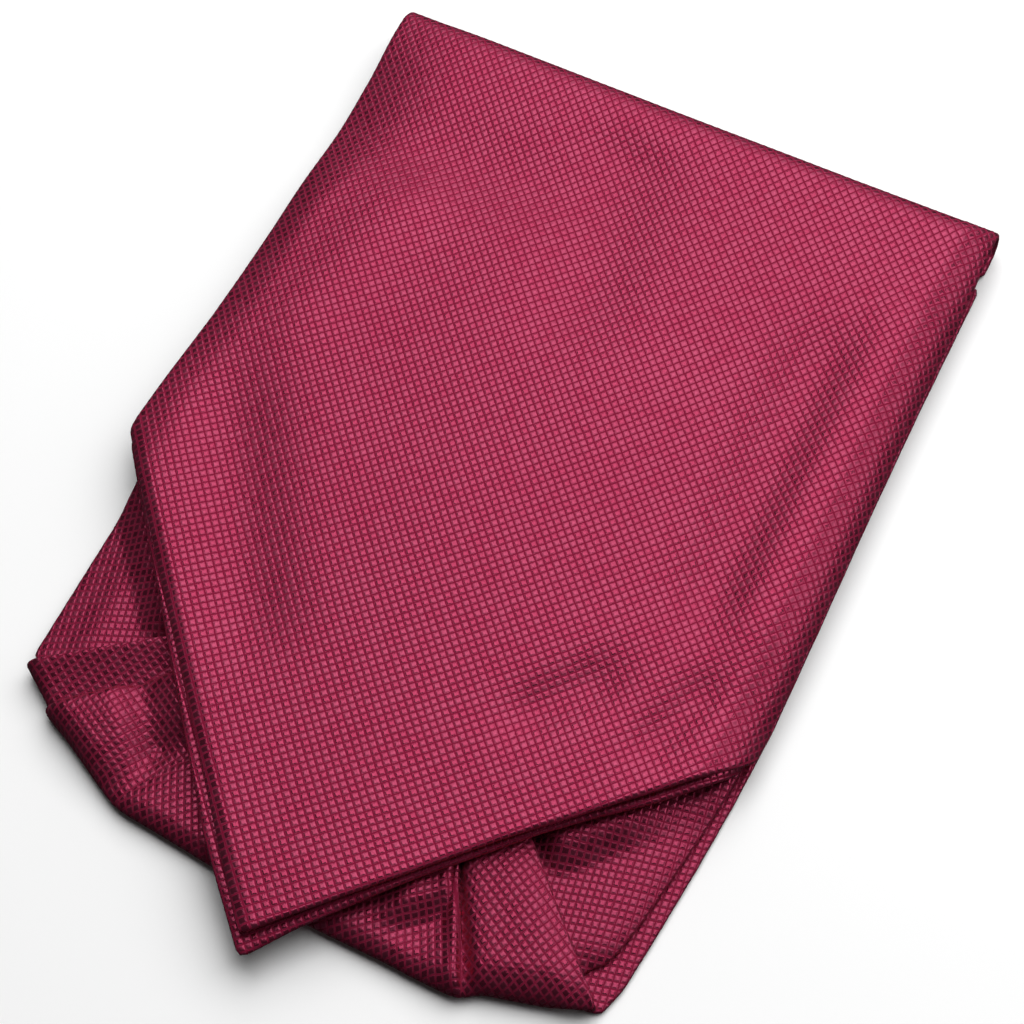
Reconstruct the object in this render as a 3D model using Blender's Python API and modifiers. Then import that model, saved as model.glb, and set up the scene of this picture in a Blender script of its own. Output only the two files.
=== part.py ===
"""Silk cravat, folded flat in three runs, as it lies on a table.

Frame: metres, +Z up, origin under the middle of the folded garment, +Y towards the
top fold, +X to the wearer's side of the blades.  The strip of the cravat is doubled at
the middle of the neck, so its two pointed ends lie on each other:

  run 1  front_blade and rear_blade, from the points up to the top fold
  run 2  lower_outer and lower_inner, back underneath, from the top fold down
  run 3  the neck stretch, turned up over the bottom fold and laid in pleats, which
         ends in the rounded core of hidden layers between the runs

Each stretch is a wall of cloth: a grid laid through the sections of its table, given
its thickness, with a rounded rim.  All sizes below are in millimetres.
"""

import math

import bmesh
import bpy

MM = 0.001

# ---------------------------------------------------------------- driving dimensions
BLADE_HALF_WIDTH = 75.7      # half of the blade's width at its shoulders
FOLD_HALF_WIDTH = 73.1       # half of the width at the top fold
BLADE_POINT_Y = -103.2       # point of the front blade
REAR_POINT_Y = -106.3        # point of the rear blade, a little past the front one
FOLD_LEFT_Y = 99.7           # where the blades start to roll over, at the left edge
FOLD_RIGHT_Y = 98.8          # and at the right edge
LOWER_LEFT_X = -70.3         # left edge of the two lower sheets

T_BLADE = 2.0                # wall of a blade: outer cloth and its own facing
T_LOWER = 1.6                # wall of a lower sheet
T_PLEAT = 1.4                # wall of a neck pleat
GAP = 0.3                    # clearance between neighbouring stretches

Z_LOWER_OUTER = T_LOWER / 2                     # middle of the bottom sheet
Z_LOWER_INNER = T_LOWER * 1.5 + GAP             # middle of the sheet on it
Z_PANEL = 2 * T_LOWER + 2 * GAP + T_PLEAT / 2 + 0.1   # middle of the flat neck panel
Z_OVER = Z_PANEL + T_PLEAT + GAP                # middle of a pleat that laps over it
Z_REAR = 8.7                                    # middle of the rear blade
Z_FRONT = 11.5                                  # middle of the front blade
EDGE_DROOP = 2.4             # how far the blades sink at their side edges
POINT_DROOP = 1.3            # how far the points sink past the bottom fold

RIM_ROUND = 0.38             # rim radius as a share of the wall

# Soft folds of the blades: a ridge (+) or a trough (-) along a line.
# name, start x, start y, end x, end y, half width, rise
BLADE_FOLDS = [
    ("right edge ridge", 64.0, 72.0, 66.0, -6.0, 7.0, 0.9),
    ("right trough", 51.0, 58.0, 54.0, 6.0, 8.0, -0.5),
    ("top trough", -7.0, 92.0, -1.0, 54.0, 10.0, -0.7),
    ("left trough", -57.0, -4.0, -30.0, -42.0, 9.0, -0.8),
    ("left ridge", -48.0, 66.0, -55.0, 22.0, 10.0, 0.6),
    ("middle ridge", 8.0, 40.0, 6.0, 0.0, 18.0, 0.5),
    ("right dimple", 61.0, -24.0, 58.0, -34.0, 6.0, -0.6),
]

# Sections of a blade, point first.  left x, left y, right x, right y, rows up to it
FRONT_SECTIONS = [
    ("point", -0.4, BLADE_POINT_Y, 2.2, BLADE_POINT_Y, 0),
    ("shoulder", -BLADE_HALF_WIDTH - 0.4, -17.6, BLADE_HALF_WIDTH, -29.4, 11),
    ("lower side", -73.7, 14.0, 74.4, 8.0, 4),
    ("upper side", -72.8, 62.0, 73.2, 60.0, 5),
    ("fold", -FOLD_HALF_WIDTH, FOLD_LEFT_Y, FOLD_HALF_WIDTH - 0.2, FOLD_RIGHT_Y, 4),
]
REAR_SECTIONS = [
    ("point", 1.3, REAR_POINT_Y, 3.7, REAR_POINT_Y, 0),
    ("waist", -15.8, -89.0, 15.8, -90.6, 3),
    ("knee", -45.4, -54.2, 44.2, -59.8, 4),
    ("shoulder", -75.1, -19.4, 75.5, -31.8, 4),
    ("lower side", -73.1, 14.0, 74.0, 8.0, 3),
    ("upper side", -72.2, 62.0, 72.8, 60.0, 4),
    ("fold", -FOLD_HALF_WIDTH + 0.6, FOLD_LEFT_Y, FOLD_HALF_WIDTH - 0.9, FOLD_RIGHT_Y, 4),
]

# Bottom edge of the lower sheets: x, y of the edge
OUTER_BOTTOM = [(-70.3, -66.8), (-65.6, -69.6), (-55.2, -76.2), (-35.2, -85.8),
                (-12.0, -87.6), (10.0, -89.4), (40.6, -89.2), (44.6, -87.6),
                (55.4, -84.4), (66.0, -81.6), (73.0, -79.6)]
INNER_BOTTOM = [(-70.3, -69.6), (-67.2, -70.8), (-57.6, -76.2), (-36.2, -87.2),
                (-12.0, -89.2), (10.0, -91.2), (41.0, -91.0), (46.4, -88.6),
                (55.0, -85.6), (62.0, -82.4), (68.0, -77.0)]
# Right edge of the lower sheets: y, x of the edge
OUTER_RIGHT = [(-90.0, 70.2), (-82.0, 71.0), (-68.0, 72.2), (-51.0, 73.7),
               (-35.0, 74.8), (-18.0, 75.3), (7.0, 74.6), (33.0, 73.8),
               (60.0, 73.3), (100.0, 72.8)]
INNER_RIGHT = [(-90.0, 61.0), (-80.0, 64.2), (-77.0, 65.6), (-73.5, 68.0),
               (-65.0, 69.4), (-56.0, 70.4), (-48.0, 71.3), (-33.0, 72.9),
               (7.0, 73.4), (60.0, 72.6), (100.0, 72.2)]

# Neck stretch: the pleats turn up over the bottom fold.  One row a section across the
# pleat: outer x and y on the bottom fold, inner x and y under the blades, height there
PLEATS = {
    "neck_panel": [
        (-36.4, -90.7, -28.6, -71.0, Z_PANEL),
        (-12.7, -92.8, -11.0, -67.0, Z_PANEL),
        (11.5, -95.0, 8.0, -65.0, Z_PANEL),
        (36.9, -95.0, 24.4, -67.5, Z_PANEL),
    ],
    "neck_pleat_upper_left": [
        (-70.0, -72.3, -41.0, -51.5, Z_PANEL + 1.4),
        (-65.6, -75.2, -38.0, -55.5, Z_PANEL + 0.3),
        (-61.2, -78.2, -35.5, -59.5, Z_PANEL),
    ],
    "neck_pleat_lower_left": [
        (-60.5, -79.8, -34.0, -57.0, Z_OVER + 0.3),
        (-49.2, -85.0, -30.5, -62.5, Z_OVER),
        (-43.0, -88.0, -30.4, -66.5, Z_PANEL + 0.6),
        (-37.8, -90.4, -30.2, -71.0, Z_PANEL),
    ],
    "neck_pleat_ridge": [
        (37.6, -95.0, 25.2, -67.3, Z_PANEL),
        (42.8, -94.8, 27.9, -67.3, Z_OVER + 0.3),
        (46.8, -93.0, 30.4, -68.4, Z_PANEL),
    ],
    "neck_pleat_right": [
        (47.6, -92.6, 31.4, -69.0, Z_OVER - 0.2),
        (52.6, -90.6, 33.6, -66.8, Z_OVER + 0.2),
        (58.4, -89.0, 36.0, -64.6, Z_OVER + 0.3),
        (64.0, -87.3, 38.6, -62.2, Z_OVER + 0.1),
        (69.2, -85.1, 41.4, -59.8, Z_OVER - 0.2),
    ],
}
UNDER_RUN = 4.4              # how far a pleat reaches back under the bottom fold

# Hidden core: outline half sizes and the layered edge.  height, inset of the outline
CORE_LEFT, CORE_RIGHT = -53.0, 58.0
CORE_BOTTOM, CORE_TOP = -42.0, 92.6
CORE_CORNER = 9.0
CORE_LAYERS = [(3.95, 1.2), (4.15, 0.3), (4.65, 0.0), (5.0, 0.5), (5.15, 1.8),
               (5.35, 1.0), (5.75, 0.9), (6.05, 1.5), (6.15, 3.2), (6.35, 2.6),
               (6.6, 3.0), (6.75, 4.4)]


# ---------------------------------------------------------------- helpers
def smooth(a, b, x):
    """0 at a, 1 at b, with soft ends."""
    s = min(1.0, max(0.0, (x - a) / (b - a)))
    return s * s * (3.0 - 2.0 * s)


def read(table, x):
    """Straight-line reading of a table of (x, value) rows."""
    if x <= table[0][0]:
        return table[0][1]
    for (xa, va), (xb, vb) in zip(table, table[1:]):
        if x <= xb:
            return va + (vb - va) * (x - xa) / (xb - xa)
    return table[-1][1]


def fold_relief(x, y):
    """Sum of the soft folds at a point of the blades."""
    total = 0.0
    for _name, xa, ya, xb, yb, half, rise in BLADE_FOLDS:
        dx, dy = xb - xa, yb - ya
        length = math.hypot(dx, dy)
        along = ((x - xa) * dx + (y - ya) * dy) / length
        across = ((x - xa) * dy - (y - ya) * dx) / length
        past = max(0.0, -along, along - length)
        total += rise * math.exp(-(across / half) ** 2 - (past / (1.4 * half)) ** 2)
    return total


def blade_height(x, y, middle, share):
    """Height of a blade's middle surface."""
    droop = EDGE_DROOP * smooth(48.0, 76.0, abs(x)) + POINT_DROOP * smooth(-86.0, -108.0, y)
    fade = 1.0 - smooth(88.0, 98.0, y)
    return middle - droop + share * fade * fold_relief(x, y)


def edge_spread(u, share=0.6):
    """Puts the columns closer together towards the side edges."""
    return (1 - share) * u + share * (0.5 + 0.5 * math.sin(math.pi * (u - 0.5)))


def new_material(name, colour, roughness, metallic):
    material = bpy.data.materials.new(name)
    material.use_nodes = True
    shader = material.node_tree.nodes["Principled BSDF"]
    shader.inputs["Base Color"].default_value = (*colour, 1.0)
    shader.inputs["Roughness"].default_value = roughness
    shader.inputs["Metallic"].default_value = metallic
    return material


def add_object(name, mesh_data, colour):
    mesh = bpy.data.meshes.new(name)
    mesh_data.to_mesh(mesh)
    mesh_data.free()
    item = bpy.data.objects.new(name, mesh)
    collection.objects.link(item)
    item.data.materials.append(new_material(name + "_silk", colour, 0.42, 0.35))
    mesh.shade_smooth()
    mesh.set_sharp_from_angle(angle=math.radians(40))
    return item


def cloth_wall(name, columns, rows, place, thickness, colour, rim_steps=2):
    """A grid laid by place(u, v), in millimetres, made a wall with a rounded rim."""
    grid = bmesh.new()
    bmesh.ops.create_grid(grid, x_segments=columns, y_segments=rows, size=1.0)
    for vertex in grid.verts:
        x, y, z = place((vertex.co.x + 1) / 2, (vertex.co.y + 1) / 2)
        vertex.co = (x * MM, y * MM, z * MM)
    bmesh.ops.recalc_face_normals(grid, faces=grid.faces)
    item = add_object(name, grid, colour)
    wall = item.modifiers.new("wall", "SOLIDIFY")
    wall.thickness = thickness * MM
    wall.offset = 0.0
    rim = item.modifiers.new("rim", "BEVEL")
    rim.width = thickness * RIM_ROUND * MM
    rim.segments = rim_steps
    rim.limit_method = "ANGLE"
    rim.angle_limit = math.radians(55)
    return item


# ---------------------------------------------------------------- the stretches
def section_rows(sections):
    """Left and right ends of every row of a blade, from its sections."""
    rows = [sections[0][1:5]]
    for before, after in zip(sections, sections[1:]):
        for k in range(1, after[5] + 1):
            s = k / after[5]
            rows.append([a + (b - a) * s for a, b in zip(before[1:5], after[1:5])])
    return rows


def blade(name, sections, middle, share, bottom, roll_rows, under, columns, colour):
    """A pointed end that lies on the stack and rolls over at the top fold."""
    rows = section_rows(sections)
    flat = len(rows) - 1
    count = flat + roll_rows + 1

    def place(u, v):
        k = round(v * count)
        left_x, left_y, right_x, right_y = rows[min(k, flat)]
        s = edge_spread(u)
        x = left_x + (right_x - left_x) * s
        y = left_y + (right_y - left_y) * s
        if k <= flat:
            return x, y, blade_height(x, y, middle, share)
        top = blade_height(x, y, middle, share)
        radius = (top - bottom) / 2
        turn = math.pi * min(1.0, (k - flat) / roll_rows)
        y += radius * math.sin(turn)
        if k == count:
            y -= under
        return x, y, (top + bottom) / 2 + radius * math.cos(turn)

    return cloth_wall(name, columns, count, place, T_BLADE, colour)


def lower_sheet(name, middle, bottom_edge, right_edge, top_y, columns, rows, colour):
    """A sheet of run 2, flat on the one below it."""

    def place(u, v):
        foot = read(bottom_edge, -70.0 + 143.0 * u)
        y = foot + (top_y - foot) * v
        x = LOWER_LEFT_X + (read(right_edge, y) - LOWER_LEFT_X) * u
        return x, y, middle

    return cloth_wall(name, columns, rows, place, T_LOWER, colour)


def pleat(name, columns, rows, colour):
    """A stretch that comes from under the bottom fold and lies up on the stack."""
    stations = PLEATS[name]
    roll_rows = 6

    def place(u, v):
        spot = u * (len(stations) - 1)
        k = min(int(spot), len(stations) - 2)
        outer_x, outer_y, inner_x, inner_y, top = (
            a + (b - a) * (spot - k) for a, b in zip(stations[k], stations[k + 1]))
        run = math.hypot(inner_x - outer_x, inner_y - outer_y)
        dir_x, dir_y = (inner_x - outer_x) / run, (inner_y - outer_y) / run
        low = T_PLEAT / 2 + 0.05
        radius = (top - low) / 2
        start = radius + T_PLEAT / 2
        row = round(v * (rows + roll_rows + 1))
        if row == 0:
            away, z = max(UNDER_RUN, start + 0.4), low
        elif row <= roll_rows + 1:
            turn = math.pi * (row - 1) / roll_rows
            away, z = start - radius * math.sin(turn), low + radius * (1 - math.cos(turn))
        else:
            share = (row - roll_rows - 1) / rows
            away, z = start + (run - start) * share, top
        return outer_x + dir_x * away, outer_y + dir_y * away, z

    return cloth_wall(name, columns, rows + roll_rows + 1, place, T_PLEAT, colour, 1)


def core_ring(inset):
    """Rounded rectangle of the hidden layers, drawn in by inset."""
    left, right = CORE_LEFT + inset, CORE_RIGHT - inset
    bottom, top = CORE_BOTTOM + inset, CORE_TOP - inset
    points = []
    for corner_x, corner_y, first in ((right, top, 0), (left, top, 90),
                                      (left, bottom, 180), (right, bottom, 270)):
        sign_x = 1 if corner_x == right else -1
        sign_y = 1 if corner_y == top else -1
        for step in range(5):
            angle = math.radians(first + step * 22.5)
            points.append((corner_x - sign_x * CORE_CORNER + CORE_CORNER * math.cos(angle),
                           corner_y - sign_y * CORE_CORNER + CORE_CORNER * math.sin(angle)))
    return points


def hidden_core(colour):
    """The neck stretch inside the stack, as one rounded solid with layered edges."""
    solid = bmesh.new()
    rings = [[solid.verts.new((x * MM, y * MM, z * MM)) for x, y in core_ring(inset)]
             for z, inset in CORE_LAYERS]
    for lower, upper in zip(rings, rings[1:]):
        for k in range(len(lower)):
            n = (k + 1) % len(lower)
            solid.faces.new((lower[k], lower[n], upper[n], upper[k]))
    solid.faces.new(list(reversed(rings[0])))
    solid.faces.new(rings[-1])
    bmesh.ops.recalc_face_normals(solid, faces=solid.faces)
    return add_object("hidden_layers", solid, colour)


# ---------------------------------------------------------------- build
for item in list(bpy.data.objects):
    bpy.data.objects.remove(item, do_unlink=True)

collection = bpy.data.collections.new("silk_cravat")
bpy.context.scene.collection.children.link(collection)

CRIMSON = (0.42, 0.035, 0.105)
CRIMSON_DEEP = (0.30, 0.022, 0.075)

lower_sheet("lower_outer", Z_LOWER_OUTER, OUTER_BOTTOM, OUTER_RIGHT, 93.9, 13, 10, CRIMSON_DEEP)
lower_sheet("lower_inner", Z_LOWER_INNER, INNER_BOTTOM, INNER_RIGHT, 92.6, 13, 12, CRIMSON)
hidden_core(CRIMSON_DEEP)
pleat("neck_panel", 6, 3, CRIMSON)
pleat("neck_pleat_upper_left", 4, 3, CRIMSON)
pleat("neck_pleat_lower_left", 6, 3, CRIMSON)
pleat("neck_pleat_ridge", 4, 3, CRIMSON)
pleat("neck_pleat_right", 6, 3, CRIMSON)
blade("rear_blade", REAR_SECTIONS, Z_REAR, 0.5, T_BLADE / 2 + 2.3, 8, 5.4, 16, CRIMSON)
blade("front_blade", FRONT_SECTIONS, Z_FRONT, 1.0, T_BLADE / 2, 10, 4.4, 18, CRIMSON)
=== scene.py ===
"""Looks of the silk cravat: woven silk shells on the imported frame, floor, light, camera."""
import math

import bpy
import numpy as np
from mathutils import Matrix, Vector
from mathutils.geometry import delaunay_2d_cdt


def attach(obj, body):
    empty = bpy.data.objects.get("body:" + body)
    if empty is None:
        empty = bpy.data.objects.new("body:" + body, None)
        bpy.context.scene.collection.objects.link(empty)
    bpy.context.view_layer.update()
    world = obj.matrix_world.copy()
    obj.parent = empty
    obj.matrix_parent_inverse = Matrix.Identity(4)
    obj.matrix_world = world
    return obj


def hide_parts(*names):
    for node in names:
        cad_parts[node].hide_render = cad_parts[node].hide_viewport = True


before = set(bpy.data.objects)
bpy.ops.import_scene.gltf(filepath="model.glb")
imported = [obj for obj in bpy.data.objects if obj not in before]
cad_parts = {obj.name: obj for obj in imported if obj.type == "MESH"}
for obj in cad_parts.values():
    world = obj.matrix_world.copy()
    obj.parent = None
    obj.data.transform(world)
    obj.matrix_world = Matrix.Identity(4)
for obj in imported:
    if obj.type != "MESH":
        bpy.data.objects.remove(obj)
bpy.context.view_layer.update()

MM = 0.001

# ================================================================ camera
LOOK_RIGHT = (0.88746, 0.45456, -0.07612)
LOOK_UP = (-0.38160, 0.81732, 0.43171)
LOOK_BACK = (0.25845, -0.35408, 0.89879)
camera = bpy.data.objects.new("camera", bpy.data.cameras.new("camera"))
camera.data.lens = 85.0
camera.data.sensor_width = 36.0
camera.data.clip_start = 0.02
camera.data.clip_end = 20.0
camera.matrix_world = Matrix((
    (LOOK_RIGHT[0], LOOK_UP[0], LOOK_BACK[0], 0.13766),
    (LOOK_RIGHT[1], LOOK_UP[1], LOOK_BACK[1], -0.17850),
    (LOOK_RIGHT[2], LOOK_UP[2], LOOK_BACK[2], 0.46213),
    (0.0, 0.0, 0.0, 1.0)))
bpy.context.scene.collection.objects.link(camera)
bpy.context.scene.camera = camera

# ================================================================ sizes, millimetres
T_BLADE, T_LOWER, T_PLEAT = 1.7, 1.3, 0.9     # double cloth, as it shows at the folds
FRONT_MID, REAR_MID = 11.65, 8.85
INNER_MID, OUTER_MID = 2.75, 0.66
PANEL_TOP = 4.75                              # middle of the flat neck panel
OVER_TOP = 6.45                               # middle of a pleat that laps over it
FOLD_LEFT_Y, FOLD_RIGHT_Y = 99.7, 98.8        # where the blades start to roll over


# ================================================================ small maths
def soft(a, b, x):
    s = np.clip((x - a) / (b - a), 0.0, 1.0)
    return s * s * (3.0 - 2.0 * s)


def read(table, x):
    xs = [row[0] for row in table]
    ys = [row[1] for row in table]
    return np.interp(x, xs, ys)


def folds(table, x, y):
    """Sum of soft ridges (+) and troughs (-), each along a line of its table."""
    total = np.zeros_like(x)
    for _name, xa, ya, xb, yb, half, rise in table:
        dx, dy = xb - xa, yb - ya
        length = math.hypot(dx, dy)
        along = ((x - xa) * dx + (y - ya) * dy) / length
        across = ((x - xa) * dy - (y - ya) * dx) / length
        past = np.maximum(0.0, np.maximum(-along, along - length))
        total += rise * np.exp(-(across / half) ** 2 - (past / (1.4 * half)) ** 2)
    return total


def drift(x, y, size, seed):
    """A slow uneven wander, about plus or minus one."""
    total = np.zeros_like(x)
    for k in range(4):
        turn = seed * 1.7 + k * 2.39996
        wave = size * (0.7 + 0.23 * k)
        total += np.sin((x * math.cos(turn) + y * math.sin(turn)) * 2 * math.pi / wave
                        + seed * 3.1 + 1.9 * k)
    return total / 2.6


class Weave:
    """Where the two thread lines of the small squares run: each family is a count of
    squares as a smooth function of the flat cloth, in millimetres."""

    def __init__(self, first, second):
        self.first, self.second = first, second

    @staticmethod
    def count(c, x, y):
        c = list(c) + [0.0] * (9 - len(c))
        u, v = x / 100.0, y / 100.0
        return (c[0] * x + c[1] * y + 100.0 * (c[2] * u * u + c[3] * u * v + c[4] * v * v
                + c[5] * u ** 3 + c[6] * u * u * v + c[7] * u * v * v + c[8] * v ** 3))

    def __call__(self, x, y):
        return self.count(self.first, x, y), self.count(self.second, x, y)


def weave_by_angle(angle_a, angle_b, pitch_a=1.5, pitch_b=1.5):
    a, b = math.radians(angle_a), math.radians(angle_b)
    return Weave((math.cos(a) / pitch_a, math.sin(a) / pitch_a),
                 (math.cos(b) / pitch_b, math.sin(b) / pitch_b))


# ================================================================ cloth maker
def even_loop(points, step):
    """A closed line through the points, with a point about every step."""
    p = np.asarray(points, float)
    q = np.vstack([p, p[:1]])
    run = np.concatenate([[0.0], np.cumsum(np.hypot(*np.diff(q, axis=0).T))])
    n = max(8, int(round(run[-1] / step)))
    at = np.linspace(0.0, run[-1], n, endpoint=False)
    return np.stack([np.interp(at, run, q[:, 0]), np.interp(at, run, q[:, 1])], axis=1)


def soften_loop(p, sigma, step):
    """Rounds the corners of a closed line."""
    reach = max(1, int(math.ceil(3 * sigma / step)))
    k = np.arange(-reach, reach + 1)
    w = np.exp(-0.5 * (k * step / sigma) ** 2)
    w /= w.sum()
    out = np.zeros_like(p)
    for shift, share in zip(k, w):
        out += share * np.roll(p, shift, axis=0)
    return out


def turn_left(p):
    x, y = p[:, 0], p[:, 1]
    area = 0.5 * np.sum(x * np.roll(y, -1) - y * np.roll(x, -1))
    return p if area > 0 else p[::-1].copy()


def drawn_in(points, by):
    """The outline moved inwards, corner by corner."""
    p = turn_left(np.asarray(points, float))
    before, after = p - np.roll(p, 1, axis=0), np.roll(p, -1, axis=0) - p
    before /= np.maximum(1e-9, np.hypot(*before.T))[:, None]
    after /= np.maximum(1e-9, np.hypot(*after.T))[:, None]
    n1 = np.stack([-before[:, 1], before[:, 0]], axis=1)
    n2 = np.stack([-after[:, 1], after[:, 0]], axis=1)
    mitre = n1 + n2
    mitre /= np.maximum(0.5, np.sum(mitre * mitre, axis=1) / 2.0)[:, None]
    return p + mitre * by


def inside_and_gap(points, ring):
    """Whether each point is inside the ring, and how far it is from it."""
    a, b = ring, np.roll(ring, -1, axis=0)
    d = b - a
    dd = np.maximum(1e-12, np.sum(d * d, axis=1))
    inside = np.zeros(len(points), bool)
    gap = np.zeros(len(points))
    chunk = 4000
    for k in range(0, len(points), chunk):
        q = points[k:k + chunk]
        rx = q[:, 0:1] - a[None, :, 0]
        ry = q[:, 1:2] - a[None, :, 1]
        t = np.clip((rx * d[None, :, 0] + ry * d[None, :, 1]) / dd, 0.0, 1.0)
        ex, ey = rx - t * d[None, :, 0], ry - t * d[None, :, 1]
        gap[k:k + chunk] = np.sqrt((ex * ex + ey * ey).min(axis=1))
        up = (a[None, :, 1] > q[:, 1:2]) != (b[None, :, 1] > q[:, 1:2])
        with np.errstate(divide="ignore", invalid="ignore"):
            cross = a[None, :, 0] + (q[:, 1:2] - a[None, :, 1]) * d[None, :, 0] / d[None, :, 1]
        hit = up & (q[:, 0:1] < cross)
        inside[k:k + chunk] = hit.sum(axis=1) % 2 == 1
    return inside, gap


def lattice(ring, weave, margin):
    """Points on every half square of the weave inside the ring, and their quads."""
    wp, wq = weave(ring[:, 0], ring[:, 1])
    lo_i, hi_i = int(math.floor(wp.min() * 2)) - 1, int(math.ceil(wp.max() * 2)) + 1
    lo_j, hi_j = int(math.floor(wq.min() * 2)) - 1, int(math.ceil(wq.max() * 2)) + 1
    ii, jj = np.meshgrid(np.arange(lo_i, hi_i + 1), np.arange(lo_j, hi_j + 1), indexing="ij")
    want_p, want_q = ii / 2.0, jj / 2.0
    # start from the best straight fit of the weave on the ring, then close in on it
    basis = np.stack([wp, wq, np.ones_like(wp)], axis=1)
    fit, *_ = np.linalg.lstsq(basis, ring, rcond=None)
    x = want_p * fit[0, 0] + want_q * fit[1, 0] + fit[2, 0]
    y = want_p * fit[0, 1] + want_q * fit[1, 1] + fit[2, 1]
    low, high = ring.min(axis=0) - 12.0, ring.max(axis=0) + 12.0
    for _ in range(9):
        x, y = np.clip(x, low[0], high[0]), np.clip(y, low[1], high[1])
        p, q = weave(x, y)
        h = 0.01
        px, qx = weave(x + h, y)
        py, qy = weave(x, y + h)
        a, b, c, d = (px - p) / h, (py - p) / h, (qx - q) / h, (qy - q) / h
        det = a * d - b * c
        det = np.where(np.abs(det) < 1e-6, 1e-6, det)
        ep, eq = want_p - p, want_q - q
        x = x + np.clip((d * ep - b * eq) / det, -15, 15)
        y = y + np.clip((a * eq - c * ep) / det, -15, 15)
    p, q = weave(x, y)
    good = (np.abs(p - want_p) < 0.02) & (np.abs(q - want_q) < 0.02)
    flat = np.stack([x.ravel(), y.ravel()], axis=1)
    box = np.all((flat > ring.min(axis=0)) & (flat < ring.max(axis=0)), axis=1) & good.ravel()
    inside = np.zeros(len(flat), bool)
    where = np.nonzero(box)[0]
    ins, gap = inside_and_gap(flat[where], ring)
    inside[where] = ins & (gap > margin)
    inside = inside.reshape(ii.shape)
    quad = inside[:-1, :-1] & inside[1:, :-1] & inside[:-1, 1:] & inside[1:, 1:]
    used = np.zeros_like(inside)
    for di in (0, 1):
        for dj in (0, 1):
            used[di:di + quad.shape[0], dj:dj + quad.shape[1]] |= quad
    number = np.full(ii.shape, -1)
    number[used] = np.arange(used.sum())
    points = np.stack([x[used], y[used]], axis=1)
    turn = np.sign(np.nanmedian(a * d - b * c))
    qi, qj = np.nonzero(quad)
    faces = np.stack([number[qi, qj], number[qi + 1, qj], number[qi + 1, qj + 1],
                      number[qi, qj + 1]], axis=1)
    if turn < 0:
        faces = faces[:, ::-1].copy()
    return points, faces


def border_of(faces):
    """Edges that only one quad has."""
    e = np.concatenate([faces[:, [k, (k + 1) % 4]] for k in range(4)])
    key = np.sort(e, axis=1)
    _u, first, counts = np.unique(key[:, 0].astype(np.int64) * 10000000 + key[:, 1],
                                  return_index=True, return_counts=True)
    return e[first[counts == 1]]


def span(coords, edges, starts):
    """Triangles between closed lines: those that can be reached from the starting
    directed edges without crossing a line."""
    verts, _e, tris, orig, _oe, _of = delaunay_2d_cdt(
        [Vector((float(x), float(y))) for x, y in coords], edges, [], 0, 1e-7, True)
    back = [o[0] if o else -1 for o in orig]
    walls = {frozenset(e) for e in edges}
    faces = [[back[v] for v in t] for t in tris]
    faces = [ids for ids in faces if min(ids) >= 0 and len(set(ids)) == 3]
    c, f = np.asarray(coords, float), np.array(faces, int)
    u, v = c[f[:, 1]] - c[f[:, 0]], c[f[:, 2]] - c[f[:, 0]]
    if np.sum(u[:, 0] * v[:, 1] - u[:, 1] * v[:, 0]) < 0:
        faces = [ids[::-1] for ids in faces]
    beside = {}
    for number, ids in enumerate(faces):
        for k in range(3):
            beside[(ids[k], ids[(k + 1) % 3])] = number
    kept, queue = set(), [beside[e] for e in starts if e in beside]
    while queue:
        f = queue.pop()
        if f in kept:
            continue
        kept.add(f)
        ids = faces[f]
        for k in range(3):
            e = (ids[k], ids[(k + 1) % 3])
            if frozenset(e) not in walls and (e[1], e[0]) in beside:
                queue.append(beside[(e[1], e[0])])
    return [faces[f] for f in sorted(kept)]


def fill_between(ring, inner_points, inner_edges):
    """Triangles between the ring and the staircase edge of the lattice."""
    n = len(ring)
    ids = np.unique(inner_edges)
    local = {int(v): n + k for k, v in enumerate(ids)}
    coords = [tuple(map(float, c)) for c in ring]
    coords += [tuple(map(float, inner_points[v])) for v in ids]
    round_ring = [(k, (k + 1) % n) for k in range(n)]
    stairs = [(local[int(a)], local[int(b)]) for a, b in inner_edges]
    found = span(coords, round_ring + stairs, round_ring + [(b, a) for a, b in stairs])
    return np.array([[i if i < n else n + int(ids[i - n]) for i in t] for t in found], int)


def coarse_fill(ring, step_x, step_y):
    """Triangles over the ring's inside with widely spaced points."""
    low, high = ring.min(axis=0), ring.max(axis=0)
    gx = np.arange(low[0] + step_x * 0.6, high[0], step_x)
    gy = np.arange(low[1] + step_y * 0.6, high[1], step_y)
    pts = np.array([(x + (0.5 * step_x if k % 2 else 0.0), y)
                    for k, y in enumerate(gy) for x in gx])
    inside, gap = inside_and_gap(pts, ring)
    pts = pts[inside & (gap > 0.55 * min(step_x, step_y))]
    n = len(ring)
    coords = [tuple(map(float, c)) for c in np.vstack([ring, pts])]
    round_ring = [(k, (k + 1) % n) for k in range(n)]
    return pts, np.array(span(coords, round_ring, round_ring), int)


def relief(p, q, high):
    """Each square of the weave stands up a little between its two thread lines."""
    return high * (-0.5 * np.cos(2 * math.pi * p) - 0.5 * np.cos(2 * math.pi * q)) - 0.2 * high


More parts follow.
